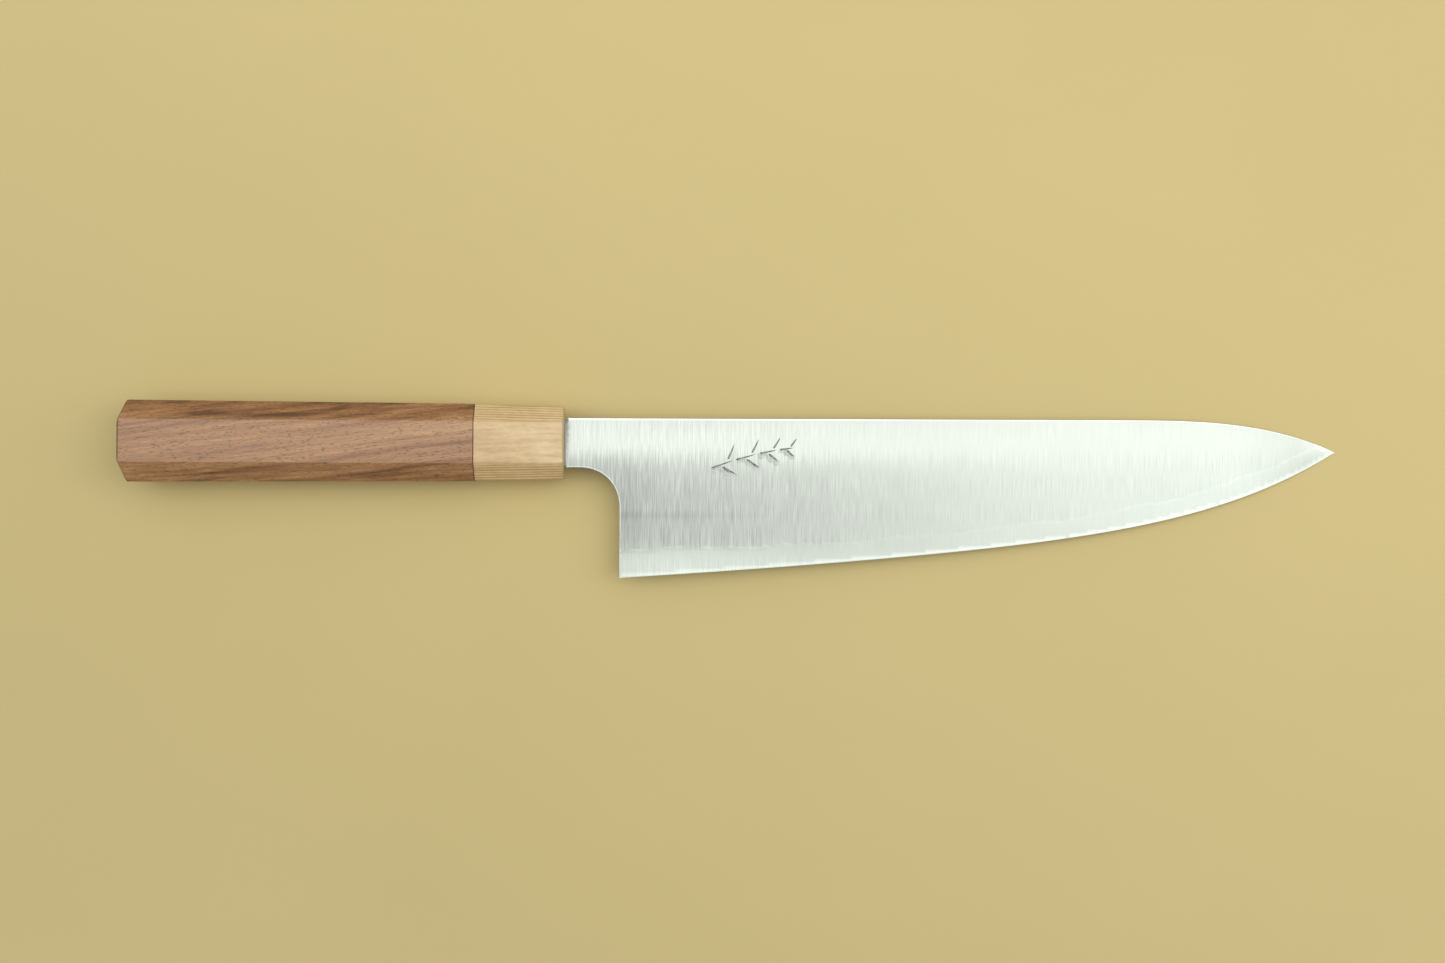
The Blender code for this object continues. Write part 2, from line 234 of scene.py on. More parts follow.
def add_piece(name, bm, material, slot, *nodes):
    """Makes an object of a bmesh drawn in the knife's axes, and puts it in place of its CAD nodes."""
    bmesh.ops.recalc_face_normals(bm, faces=bm.faces[:])
    bmesh.ops.transform(bm, matrix=AXES, verts=bm.verts[:])
    mesh = bpy.data.meshes.new(name)
    bm.to_mesh(mesh)
    bm.free()
    mesh.shade_smooth()
    mesh.set_sharp_from_angle(angle=math.radians(32))
    mesh.materials.append(material)
    piece = bpy.data.objects.new(name, mesh)
    bpy.context.scene.collection.objects.link(piece)
    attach(piece, "root")
    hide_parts(*nodes)
    return piece


def mix(start, end, share):
    return start + (end - start) * share


def smooth(share):
    share = np.clip(share, 0.0, 1.0)
    return share * share * (3 - 2 * share)


# Blade shape: functions of places (x, y) on the blade's side, which may be arrays


def spine_y(x):
    run = np.clip((x - SPINE_DROP_START_X) / (TIP_X - SPINE_DROP_START_X), 0.0, None)
    drop = SPINE_Y + SPINE_RISE * TIP_X - TIP_Y
    return SPINE_Y + SPINE_RISE * x - drop * run**SPINE_DROP_POWER


def edge_y(x):
    run = np.clip((x - HEEL_X) / BLADE_LENGTH, 0.0, None)
    last_rise = TIP_Y - HEEL_Y - EDGE_RISE_STRAIGHT - EDGE_RISE_CURVED
    curved = EDGE_RISE_CURVED * run**2 + last_rise * run**EDGE_RISE_POWER
    return HEEL_Y + EDGE_RISE_STRAIGHT * run + curved


def core_half(x):
    return mix(CORE_THICKNESS_AT_FERRULE, CORE_THICKNESS_AT_TIP, x / TIP_X) / 2


def ground_half(x, y):
    """Half the blade's thickness before its edges are rubbed round: a convex grind over a small bevel."""
    above = y - edge_y(x)
    height = np.maximum(spine_y(x) - edge_y(x), 1e-6)
    bevel = np.minimum(EDGE_BEVEL_HEIGHT, 0.3 * height)
    shoulder = EDGE_BEVEL_SLOPE * bevel
    thickness = mix(THICKNESS_AT_FERRULE, THICKNESS_AT_TIP, x / TIP_X)
    full = np.minimum(thickness / 2, shoulder + EDGE_BEVEL_SLOPE * height / 2)
    rise = np.clip((above - bevel) / (height - bevel), 0.0, 1.0)
    grind = mix(shoulder, full, 1 - (1 - rise) ** 2)
    half = np.where(above < bevel, EDGE_BEVEL_SLOPE * np.clip(above, 0.0, None), grind)
    run = (x - TANG_END_X) / (SHOULDER_X - TANG_END_X)
    tang = mix(TANG_THICKNESS_END, TANG_THICKNESS_FRONT, run) / 2
    return np.where(x < SHOULDER_X, np.minimum(half, tang), half)


def line_y(x):
    """The wavy lamination line, where the core comes out from under the cladding."""
    above = mix(LINE_ABOVE_HEEL, LINE_ABOVE_EDGE, smooth((x - HEEL_X) / (80 * MM)))
    turns = 2 * math.pi * x / MM
    slow = 0.32 * np.sin(turns / 37 + 1.0) + 0.20 * np.sin(turns / 17.3 + 0.4)
    quick = 0.16 * np.sin(turns / 8.1 + 2.0) + 0.10 * np.sin(turns / 4.7) * np.sin(turns / 29)
    return edge_y(x) + above + (slow + quick) * MM


def line_end_x():
    """Where the lamination line runs out at the spine, just behind the tip."""
    places = np.linspace(SPINE_DROP_START_X, TIP_X, 2000)
    return float(places[np.argmax(line_y(places) > spine_y(places) - 0.05 * MM)])


def cover(x, y):
    """How far the cladding has come down over the core: 0 on the lamination line and below, 1 above it."""
    above = np.where(x < line_end_x(), y - line_y(x), -1.0)
    return smooth(above / LINE_BLEND)


def core_top(x, y, half):
    """Height of the core's face under the cladding, where half is the height of the blade's face."""
    return mix(half, np.minimum(core_half(x), half - CLADDING_LEAST), cover(x, y))


# Plan work: lines and loops are arrays of (x, y)


def run_of(x, curve):
    return np.column_stack((x, curve(x)))


def places(start, end, step):
    return np.linspace(start, end, max(2, int(round(abs(end - start) / step)) + 1))


def blade_places(start, end, step):
    """Places along the blade, closer together once they are near its tip."""
    return np.append(places(start, TIP_STEP_X, step), places(TIP_STEP_X, end, TIP_STEP)[1:])


def corner(x, y, turn):
    """A rounded corner of the shoulder; turn is the angle where its quarter circle starts."""
    angles = np.radians(np.linspace(turn, turn - 90, CORNER_POINTS))
    return np.column_stack((x + SHOULDER_CORNER * np.cos(angles), y + SHOULDER_CORNER * np.sin(angles)))


def notch_line():
    """From the heel's corner up the heel, round the finger notch and back along the neck's underside."""
    up = places(HEEL_Y, CHOIL_END_Y, NOTCH_STEP)
    heel = np.column_stack((np.full(len(up), HEEL_X), up))
    t = np.linspace(0.0, 1.0, 41)[1:, None]
    ends = np.array([(HEEL_X, CHOIL_END_Y), (CHOIL_START_X, NECK_UNDERSIDE_Y)])
    pulls = np.array([(0.0, CHOIL_HANDLE_Y), (CHOIL_HANDLE_X, 0.0)]) + ends
    near = (1 - t) ** 3 * ends[0] + 3 * t * (1 - t) ** 2 * pulls[0]
    far = 3 * t**2 * (1 - t) * pulls[1] + t**3 * ends[1]
    under = places(CHOIL_START_X, SHOULDER_X + SHOULDER_CORNER, NOTCH_STEP)[1:-1]
    neck = np.column_stack((under, np.full(len(under), NECK_UNDERSIDE_Y)))
    low = corner(SHOULDER_X + SHOULDER_CORNER, NECK_UNDERSIDE_Y + SHOULDER_CORNER, 270)
    return np.vstack((heel, near + far, neck, low))


def tang_line():
    """From the shoulder round the tang and back to the shoulder."""
    front = TANG_HEIGHT_FRONT / 2
    end = TANG_HEIGHT_END / 2
    x = places(SHOULDER_X, TANG_END_X, 10 * MM)
    low = np.column_stack((x, mix(-front, -end, (SHOULDER_X - x) / (SHOULDER_X - TANG_END_X))))
    return np.vstack((low, low[::-1] * (1, -1)))


def top_line(end_x):
    """From the shoulder's upper corner along the spine to end_x."""
    high = corner(SHOULDER_X + SHOULDER_CORNER, spine_y(SHOULDER_X) - SHOULDER_CORNER, 180)
    x = blade_places(SHOULDER_X + SHOULDER_CORNER, end_x, SPINE_STEP)[1:]
    return np.vstack((high, run_of(x, spine_y)))


def distance_to(points, line):
    """Shortest distance from each point to a run of straight segments."""
    best = np.full(len(points), np.inf)
    for start, end in zip(line[:-1], line[1:]):
        along = end - start
        share = np.clip((points - start) @ along / max(along @ along, 1e-18), 0.0, 1.0)
        gap = points - start - share[:, None] * along
        best = np.minimum(best, np.hypot(gap[:, 0], gap[:, 1]))
    return best


def inside(points, loop):
    """Whether each point is inside a closed loop."""
    found = np.zeros(len(points), bool)
    x, y = points[:, 0], points[:, 1]
    for (ax, ay), (bx, by) in zip(loop, np.roll(loop, -1, axis=0)):
        if ay != by:
            crosses = (ay > y) != (by > y)
            found ^= crosses & (x < (bx - ax) * (y - ay) / (by - ay) + ax)
    return found


def inset(line, depth):
    """The line moved to its left by depth, which may differ along it."""
    along = np.gradient(line, axis=0)
    along /= np.maximum(np.hypot(along[:, 0], along[:, 1]), 1e-12)[:, None]
    return line + np.column_stack((-along[:, 1], along[:, 0])) * np.reshape(depth, (-1, 1))


def eased_runs(line, outline):
    """Lines beside a rubbed edge, close enough together to carry its rounding."""
    probe = inset(line, np.full(len(line), 0.3 * MM))
    radius = EASE_SHARE * ground_half(probe[:, 0], probe[:, 1])
    runs = []
    for share in (0.08, 0.3, 0.62, 1.0, 1.5):
        depth = radius * share
        moved = inset(line, depth)
        kept = inside(moved, outline) & (distance_to(moved, outline) > 0.97 * depth)
        runs += split_runs(moved, kept)
    return runs


def split_runs(line, kept):
    """The stretches of a line whose points are kept."""
    breaks = np.flatnonzero(np.diff(kept.astype(int))) + 1
    parts = zip(np.split(line, breaks), np.split(kept, breaks))
    return [part for part, keep in parts if keep[0] and len(part) > 1]


def triangulate(outline, runs, spacing):
    """Triangles inside a loop, whose edges follow the runs, with a grid of points between them."""
    low, high = outline.min(0), outline.max(0)
    row_spacing = spacing * 0.87  # makes the triangles nearly equilateral
    rows = np.arange(low[1], high[1], row_spacing)
    columns = np.arange(low[0], high[0], spacing)
    grid = np.array([(x + spacing / 2 * (i % 2), y) for i, y in enumerate(rows) for x in columns])
    grid = grid[inside(grid, outline)]
    closed = np.vstack((outline, outline[:1]))
    for line in (closed, *runs):
        near = distance_to(grid, line) < 0.5 * spacing
        grid = grid[~near]
    points = np.vstack((outline, *runs, grid)) / MM
    count = len(outline)
    edges = [(i, (i + 1) % count) for i in range(count)]
    for line in runs:
        edges += [(count + i, count + i + 1) for i in range(len(line) - 1)]
        count += len(line)
    plan, _, faces, *_ = geometry.delaunay_2d_cdt([Vector(p) for p in points], edges, [], 1, 1e-5)
    return np.array(plan) * MM, [face for face in faces if len(face) == 3]


def slab(plan, faces, top, bottom):
    """A closed solid over a plan, between two heights, which may meet along its rim."""
    bm = bmesh.new()
    upper = [bm.verts.new((x, y, z)) for (x, y), z in zip(plan, top)]
    lower = [bm.verts.new((x, y, z)) for (x, y), z in zip(plan, bottom)]
    used = {}
    for face in faces:
        bm.faces.new([upper[i] for i in face])
        bm.faces.new([lower[i] for i in reversed(face)])
        for i, j in zip(face, (*face[1:], face[0])):
            used[(i, j)] = True
    for i, j in used:
        if (j, i) not in used:
            bm.faces.new((upper[j], upper[i], lower[i], lower[j]))
    loose = [vert for vert in bm.verts if not vert.link_faces]
    bmesh.ops.delete(bm, geom=loose, context="VERTS")
    bmesh.ops.remove_doubles(bm, verts=bm.verts[:], dist=1e-7)
    bmesh.ops.dissolve_degenerate(bm, edges=bm.edges[:], dist=1e-8)
    return bm


def eased_half(plan, eased_lines):
    """Half thickness over a plan with its eased lines rubbed round, and how rubbed each place is, which sets
    the painted highlight along those edges.
    """
    half = ground_half(plan[:, 0], plan[:, 1])
    from_edge = np.min([distance_to(plan, line) for line in eased_lines], axis=0)
    radius = EASE_SHARE * half
    short = np.clip(radius - from_edge, 0.0, None)
    drop = radius - np.sqrt(np.clip(radius**2 - short**2, 0.0, None))
    return half - EASE_DEPTH * drop, np.clip(3 - 2 * from_edge / np.maximum(radius, 1e-6), 0.0, 1.0)


# Ornament: a plain sprig of chisel cuts on the right side of the blade


def heading_step(angle, length):
    return Vector((math.cos(angle), math.sin(angle))) * length


def sprig_cuts():
    """Each cut as (head, tail, width): a stem of four strokes, each with a leaf on both sides."""
    cuts = []
    start = SPRIG_START
    heading = math.radians(SPRIG_HEADING)
    for length in SPRIG_STROKES:
        step = heading_step(heading, length) * MM
        cuts.append((start, start + step * 0.88, STEM_WIDTH))
        for side, root_share in ((1, 0.62), (-1, 0.34)):
            reach = heading_step(heading + side * math.radians(LEAF_TURN), LEAF_LENGTH * length * MM)
            root = start + step * root_share + reach * 0.22
            cuts.append((root, root + reach, LEAF_WIDTH))
        start = start + step
        heading -= math.radians(SPRIG_BEND)
    return cuts


def cut_half_width(width, share):
    """Half a cut's width at a share of its length: blunt at its head and drawn out to its tail."""
    return width / 2 * np.sqrt(np.minimum(1.0, share / CUT_HEAD_SHARE)) * (1 - share) ** CUT_TAIL_POWER


def cut_loop(cut, grow=0.0):
    """The outline of a cut, which may be grown on all sides."""
    head, tail, width = cut
    along = (tail - head).normalized()
    across = Vector((-along.y, along.x))
    length = (tail - head).length
    sides = []
    for share in (0.06, 0.16, 0.35, 0.6, 0.82):
        half = float(cut_half_width(width, share))
        sides.append((head + along * (share * length), half + grow))
    left = [place + across * half for place, half in sides]
    right = [place - across * half for place, half in reversed(sides)]
    ends = [head - along * grow, *left, tail + along * grow, *right]
    return np.array([tuple(point) for point in ends])


def cut_depth(plan, cuts):
    """How far the chisel went down at each place, less the burr it raised along one side of each cut."""
    depth = np.zeros(len(plan))
    for head, tail, width in cuts:
        along = np.array((tail - head).normalized())
        across = np.array((-along[1], along[0]))
        length = (tail - head).length
        share = (plan - np.array(head)) @ along / length
        off = (plan - np.array(head)) @ across
        inner = np.clip(share, 0.0, 1.0)
        half = cut_half_width(width, inner)
        valley = np.clip(1 - np.abs(off) / np.maximum(half, 1e-9), 0.0, 1.0)
        within = (share > 0) & (share < 1)
        depth = np.where(within, np.maximum(depth, 0.5 * width * valley * (1 - 0.4 * inner)), depth)
        burr = np.exp(-(((np.abs(off) - half - BURR_OFFSET) / BURR_WIDTH) ** 2)) * (off < 0)
        depth = np.where(within & (depth <= 0), depth - BURR_HEIGHT * burr, depth)
    return depth


def cut_runs(cuts):
    """Lines round each cut and along its middle, for the triangles to follow."""
    runs = []
    for cut in cuts:
        head, tail, _ = cut
        for grow in (0.0, 0.1 * MM, 0.22 * MM):
            loop = cut_loop(cut, grow)
            runs.append(np.vstack((loop, loop[:1])))
        shares = np.linspace(0.05, 0.9, 6)
        runs.append(np.array([tuple(head + (tail - head) * share) for share in shares]))
    return runs


# Blade pieces


def add_values(piece, name, value_at):
    """Stores a value from 0 to 1 on each point of a piece, worked out from its place on the knife."""
    back = AXES.inverted()
    values = [float(np.clip(value_at(np.array(back @ vert.co)), 0.0, 1.0)) for vert in piece.data.vertices]
    piece.data.attributes.new(name, "FLOAT", "POINT").data.foreach_set("value", values)


def add_edge_highlight_and_seam(piece, plan, rubbed_highlight_mask):
    """Stores a painted highlight along the steel's rubbed and honed edges, partly their real polish and
    partly the light they catch, and where the plies meet.
    """
    from_cut = plan[:, 1] - edge_y(plan[:, 0])
    # Painted highlight: the honed bevel and the rubbed edges get lighter steel, standing in for the light
    # they catch as well as their polish
    honed = np.clip(1.6 - from_cut / EDGE_BEVEL_HEIGHT, 0.0, 0.5)
    worn_edge_highlight = {tuple(np.round(place / MM, 3)): value for place, value in zip(plan, np.maximum(rubbed_highlight_mask, honed))}
    add_values(piece, "worn_edge_highlight", lambda place: worn_edge_highlight.get(tuple(np.round(place[:2] / MM, 3)), 0.0))
    add_values(piece, "seam", lambda place: 1 - abs(place[1] - line_y(place[0])) / (0.35 * MM))


def shoulder_runs():
    """Two lines across the tang's root, between which the blade steps in to the tang's thickness."""
    front = TANG_HEIGHT_FRONT / 2
    across = np.linspace(-front, front, 11)
    behind = np.linspace(-front + 0.05 * MM, front - 0.05 * MM, 11)
    inner_x = SHOULDER_X - 0.06 * MM
    return [np.column_stack((np.full(11, x), y)) for x, y in ((SHOULDER_X, across), (inner_x, behind))]


def line_runs(line, outline):
    """Lines just above the lamination line, so that the core and the claddings bend at the same places."""
    runs = []
    for rise in (-0.35, 0.35, 0.75, 1.1, 1.5):
        moved = line + (0.0, rise * MM)
        runs += split_runs(moved, inside(moved, outline) & (distance_to(moved, outline) > 0.3 * MM))
    return runs


def build_cladding(name, side, cuts, loop, runs, eased, steel):
    """One cladding ply, from the core's face to the blade's, on the right (side 1) or the left (side -1)."""
    plan, faces = triangulate(loop, runs + cut_runs(cuts), BLADE_GRID)
    half, rubbed_highlight_mask = eased_half(plan, eased)
    inner = core_top(plan[:, 0], plan[:, 1], half)
    outer = half - cut_depth(plan, cuts)
    low, high = (inner, outer) if side > 0 else (-outer, -inner)
    piece = add_piece(name + "_ground", slab(plan, faces, high, low), steel, "cladding_steel", name)
    add_edge_highlight_and_seam(piece, plan, rubbed_highlight_mask)


def build_core(loop, runs, eased, steel):
    """The core ply, as thick as the blade below the lamination line and thin between the claddings."""
    plan, faces = triangulate(loop, runs, BLADE_GRID)
    half, rubbed_highlight_mask = eased_half(plan, eased)
    x, y = plan[:, 0], plan[:, 1]
    half = core_top(x, y, half) - PLY_GAP * cover(x, y)
    solid = slab(plan, faces, half, -half)
    piece = add_piece("blade_core_ground", solid, steel, "core_steel", "blade_core")
    add_edge_highlight_and_seam(piece, plan, rubbed_highlight_mask)


def bevel_runs(edge, outline):
    """Lines just below and above the top of the small bevel on the cutting edge."""
    runs = []
    for share in (0.94, 1.06):
        bevel = edge + (0.0, share * EDGE_BEVEL_HEIGHT)
        kept = inside(bevel, outline) & (distance_to(bevel, outline) > 0.3 * MM)
        runs += split_runs(bevel, kept)
    return runs


def build_blade(core_steel, cladding_steel):
    """Three plies: their outlines share the spine, the tang and the notch above the lamination line."""
    end_x = line_end_x()
    line = run_of(places(HEEL_X, end_x, LINE_STEP), line_y)
    line[-1, 1] = spine_y(end_x)
    notch = notch_line()
    clear = 0.2 * MM
    on_heel = notch[:, 0] > HEEL_X - 0.01 * MM
    above_line = notch[(notch[:, 1] > line[0, 1] + clear) | ~on_heel]
    below_line = notch[(notch[:, 1] < line[0, 1] - clear) & on_heel]
    spine = top_line(end_x)
    spine_tip = run_of(places(end_x, TIP_X, TIP_STEP), spine_y)
    edge = run_of(blade_places(HEEL_X, TIP_X, EDGE_STEP), edge_y)
    back = (spine[::-1], tang_line()[::-1], above_line[::-1])
    notch_side = above_line[:-CORNER_POINTS]
    spine_side = spine[CORNER_POINTS:]

    loop = np.vstack((line[:-1], *back))
    shared = shoulder_runs() + line_runs(line, loop)
    runs = shared + eased_runs(notch_side[::-1], loop) + eased_runs(spine_side[::-1], loop)
    eased = (np.vstack((line[:1], notch_side)), spine_side)
    build_cladding("blade_cladding_right", 1, sprig_cuts(), loop, runs, eased, cladding_steel)
    build_cladding("blade_cladding_left", -1, [], loop, runs, eased, cladding_steel)

    loop = np.vstack((edge[:-1], spine_tip[:0:-1], *back, line[:1], below_line[:0:-1]))
    runs = [line[:-1], *shared, *bevel_runs(edge, loop), *eased_runs(below_line[::-1], loop)]
    eased = (notch[:-CORNER_POINTS], np.vstack((spine_side, spine_tip[1:])))
    build_core(loop, runs, eased, core_steel)


# Handle pieces: rings of points round the X axis, joined in turn


def octagon_points(x):
    """The handle's section at x with its corners rubbed round, as (y, z) for each place round the axis."""
    if x < -FERRULE_LENGTH - 0.5 * WOOD_JOINT_GAP:
        run = (x - BUTT_X) / (-FERRULE_LENGTH - WOOD_JOINT_GAP - BUTT_X)
        half_height, half_thickness, bevel = mix(BUTT_SIZE, JOINT_SIZE, run)
    else:
        run = 1 + x / FERRULE_LENGTH
        half_height, half_thickness, bevel = mix(FERRULE_BACK_SIZE, FERRULE_FRONT_SIZE, run)
    first = [(half_height, half_thickness - bevel), (half_height - bevel, half_thickness)]
    corners = first + [(-y, z) for y, z in reversed(first)]
    corners = np.array(corners + [(-y, -z) for y, z in corners])
    points = []
    for i, point in enumerate(corners):
        back = corners[i - 1] - point
        ahead = corners[(i + 1) % 8] - point
        start = point + back / np.hypot(*back) * FACET_EDGE_EASE / 2
        end = point + ahead / np.hypot(*ahead) * FACET_EDGE_EASE / 2
        for t in np.linspace(0.0, 1.0, 4):
            points.append((1 - t) ** 2 * start + 2 * t * (1 - t) * point + t**2 * end)
    return np.array(points)


def flat_ring(x, yz):
    return np.column_stack((np.full(len(yz), x), yz))


def shrunk(yz, depth):
    """A ring drawn in towards the axis by depth."""
    return yz * (1 - depth / np.hypot(yz[:, 0], yz[:, 1]))[:, None]


def box_points(round_yz, half_height, half_thickness, middle_y=0.0):
    """A rectangle's outline with one point in the direction of each point of another ring."""
    size = np.maximum(np.abs(round_yz[:, 0]) / half_height, np.abs(round_yz[:, 1]) / half_thickness)
    return round_yz / size[:, None] + (middle_y, 0.0)


def circle_points(round_yz, radius):
    return round_yz / np.hypot(round_yz[:, 0], round_yz[:, 1])[:, None] * radius


def loft(rings, closed=False):
    """A solid through rings of points: capped by a centre point at each end, or joined end to end."""
    bm = bmesh.new()
    loops = [[bm.verts.new(point) for point in ring] for ring in rings]
    pairs = list(zip(loops, loops[1:]))
    if closed:
        pairs.append((loops[-1], loops[0]))
    count = len(rings[0])
    for near, far in pairs:
        for i in range(count):
            j = (i + 1) % count
            bm.faces.new((near[i], near[j], far[j], far[i]))
    if not closed:
        for ring, loop in ((rings[0], loops[0]), (rings[-1], loops[-1])):
            centre = bm.verts.new(np.mean(ring, axis=0))
            for i in range(count):
                bm.faces.new((loop[i], loop[(i + 1) % count], centre))
    return bm


def dome_x(yz):
    """Where the domed butt's face lies, for places (y, z) on it."""
    reach = np.hypot(yz[:, 0], BUTT_DOME_FLATNESS * yz[:, 1]) / BUTT_SIZE[0]
    return BUTT_X + BUTT_DOME_DEPTH * reach**BUTT_DOME_POWER


def build_handle_body(walnut):
    """The body from the middle of its domed butt, over the rim and along the taper, into its bore."""
    rim = octagon_points(BUTT_X)
    for _ in range(4):
        x = dome_x(rim)
        rim = np.array([octagon_points(place)[i] for i, place in enumerate(x)])
    rim_x = dome_x(rim)
    rings = []
    for share in (0.06, 0.2, 0.36, 0.52, 0.68, 0.82, 0.91):
        rings.append(np.column_stack((dome_x(rim * share), rim * share)))
    ahead = rim_x + BUTT_RIM_EASE
    start = np.column_stack((ahead, [octagon_points(place)[i] for i, place in enumerate(ahead)]))
    middle = np.column_stack((rim_x, rim))
    drawn_in = shrunk(rim, BUTT_RIM_EASE)
    end = np.column_stack((dome_x(drawn_in), drawn_in))
    for t in np.linspace(0.0, 1.0, 6):
        rings.append((1 - t) ** 2 * end + 2 * t * (1 - t) * middle + t**2 * start)
    flat_x = BUTT_X + 12 * MM
    for share in (0.1, 0.3, 0.6):
        x = mix(ahead, flat_x, share)
        rings.append(np.column_stack((x, [octagon_points(place)[i] for i, place in enumerate(x)])))
    front = -FERRULE_LENGTH - WOOD_JOINT_GAP
    near_front = (front - 3 * JOINT_EASE, front - JOINT_EASE)
    for x in np.append(places(flat_x, front - 2 * MM, 6 * MM), near_front):
        rings.append(flat_ring(x, octagon_points(x)))
    rings.append(flat_ring(front, shrunk(octagon_points(front), JOINT_EASE)))
    bore = circle_points(octagon_points(front), BORE_RADIUS)
    rings += [flat_ring(front, bore), flat_ring(BORE_END_X, bore)]
    piece = add_piece("handle_body_shaped", loft(rings), walnut, "walnut", "handle_body")
    add_values(piece, "end_grain", lambda place: 1 - (place[0] - dome_x(place[None, 1:])[0]) / (0.4 * MM))


def build_ferrule(pale_wood):
    """The ferrule from its back, over its rounded front rim, through the tang's slot and into its bore."""
    back = -FERRULE_LENGTH
    rings = [flat_ring(back, shrunk(octagon_points(back), JOINT_EASE))]
    for x in (back + JOINT_EASE, back + 3 * JOINT_EASE, back / 2, -2.5 * FERRULE_RIM_RADIUS):
        rings.append(flat_ring(x, octagon_points(x)))
    for turn in range(0, 91, 18):
        angle = math.radians(turn)
        x = -FERRULE_RIM_RADIUS * (1 - math.sin(angle))
        yz = shrunk(octagon_points(x), FERRULE_RIM_RADIUS * (1 - math.cos(angle)))
        rings.append(flat_ring(x, yz))
    face = rings[-1][:, 1:]
    slot = box_points(face, SLOT_HEIGHT / 2, SLOT_THICKNESS / 2)
    bore = circle_points(face, BORE_RADIUS)
    rings += [flat_ring(0.0, slot), flat_ring(-FERRULE_WALL, slot)]
    rings += [flat_ring(-FERRULE_WALL, bore), flat_ring(back, bore)]
    add_piece("ferrule_shaped", loft(rings, closed=True), pale_wood, "pale_wood", "ferrule")


def build_seal(grey_resin):
    """The wiped fillet of resin: widest on the ferrule's face, drawn in to the blade's shoulder."""
    angles = np.linspace(0.0, 2 * math.pi, 96, endpoint=False)
    around = np.column_stack((np.cos(angles) * 3.2, np.sin(angles)))
    rings = []
    for share in (0.0, 0.12, 0.3, 0.55, 0.8, 1.0):
        drawn = (1 - (1 - share) ** 2) * SEAL_DRAWN_IN
        half_height = SEAL_HALF_HEIGHT - 0.25 * drawn
        yz = box_points(around, half_height, SEAL_HALF_THICKNESS - drawn, SEAL_MIDDLE_Y)
        rings.append(flat_ring(mix(SEAL_BACK_X, SEAL_FRONT_X, share), yz))
    hole_height = TANG_HEIGHT_FRONT / 2 + TANG_CLEARANCE
    hole = box_points(around, hole_height, TANG_THICKNESS_FRONT / 2 + TANG_CLEARANCE)
    sleeve = box_points(around, SLOT_HEIGHT / 2 - 0.1 * MM, SLOT_THICKNESS / 2 - 0.1 * MM)
    rings += [flat_ring(SEAL_FRONT_X, hole), flat_ring(SEAL_END_X, hole)]
    rings += [flat_ring(SEAL_END_X, sleeve), flat_ring(SEAL_BACK_X, sleeve)]
    add_piece("mouth_seal_fillet", loft(rings, closed=True), grey_resin, "grey_resin", "mouth_seal")


# Materials


def add(tree, kind, settings=None, **inputs):
    """Adds a node, sets its properties and fills its inputs with values or links."""
    node = tree.nodes.new("ShaderNode" + kind)
    for name, value in (settings or {}).items():
        setattr(node, name, value)
    for name, value in inputs.items():
        fill(tree, node.inputs[name.replace("_", " ")], value)
    return node


def fill(tree, socket, value):
    if isinstance(value, bpy.types.NodeSocket):
        tree.links.new(value, socket)
    else:
        socket.default_value = value


def calc(tree, operation, *values):
    """A Math node's result."""
    node = tree.nodes.new("ShaderNodeMath")
    node.operation = operation
    for socket, value in zip(node.inputs, values):
        fill(tree, socket, value)
    return node.outputs[0]


def fit(tree, value, low, high, to_low=0.0, to_high=1.0):
    """The value's place between low and high, carried to another range and held inside it."""
    node = add(tree, "MapRange", None, Value=value)
    for name, number in (("From Min", low), ("From Max", high), ("To Min", to_low), ("To Max", to_high)):
        fill(tree, node.inputs[name], number)
    return node.outputs["Result"]


def blend(tree, factor, first, second, way="MIX"):
    """A colour mix."""
    node = tree.nodes.new("ShaderNodeMix")
    node.data_type = "RGBA"
    node.blend_type = way
    for index, value in ((0, factor), (6, first), (7, second)):
        fill(tree, node.inputs[index], value)
    return node.outputs[2]


def grey(tree, level):
    """A number as a colour."""
    return add(tree, "CombineColor", None, Red=level, Green=level, Blue=level).outputs[0]


def times(tree, colour, level):
    """A colour made darker or lighter by a number."""
    return blend(tree, 1.0, colour, grey(tree, level), "MULTIPLY")


def between(tree, share, first, second):
    """A value between two others."""
    return add(tree, "Mix", {"data_type": "FLOAT"}, Factor=share, A=first, B=second).outputs[0]


def spread(tree, value, low=0.0, high=1.0):
    """A noise's values spread over another range."""
    return fit(tree, value, *NOISE_RANGE, low, high)


def around_one(tree, value, share):
    """A noise's value spread about 1 by up to the share given."""
    return spread(tree, value, 1 - share, 1 + share)


def hump(tree, value, middle, width):
    """1 where the value is at the middle, falling away smoothly to 0 within about two widths."""
    off = calc(tree, "DIVIDE", calc(tree, "SUBTRACT", value, middle), width)
    return calc(tree, "POWER", math.e, calc(tree, "MULTIPLY", calc(tree, "MULTIPLY", off, off), -1.0))


def ramp(tree, factor, *stops):
    """Colours along a ramp; each stop is (place, red, green, blue)."""
    node = add(tree, "ValToRGB", None, Fac=factor)
    elements = node.color_ramp.elements
    while len(elements) < len(stops):
        elements.new(0.5)
    for element, (place, *colour) in zip(elements, stops):
        element.position = place
        element.color = (*colour, 1.0)
    return node.outputs["Color"]


def stretched(tree, sizes, turn=(0.0, 0.0, 0.0), warp=None):
    """Knife coordinates turned by degrees and divided by sizes in millimetres, for a texture's vector."""
    vector = add(tree, "TexCoord", {"object": axes_empty}).outputs["Object"]
    if warp is not None:
        vector = move(tree, vector, warp)
    node = add(tree, "Mapping", {"vector_type": "TEXTURE"}, Vector=vector)
    node.inputs["Rotation"].default_value = [math.radians(angle) for angle in turn]
    node.inputs["Scale"].default_value = [size * MM for size in sizes]
    return node.outputs[0]


def move(tree, first, second):
    """The sum of two vectors."""
    node = tree.nodes.new("ShaderNodeVectorMath")
    node.operation = "ADD"
    fill(tree, node.inputs[0], first)
    fill(tree, node.inputs[1], second)
    return node.outputs[0]


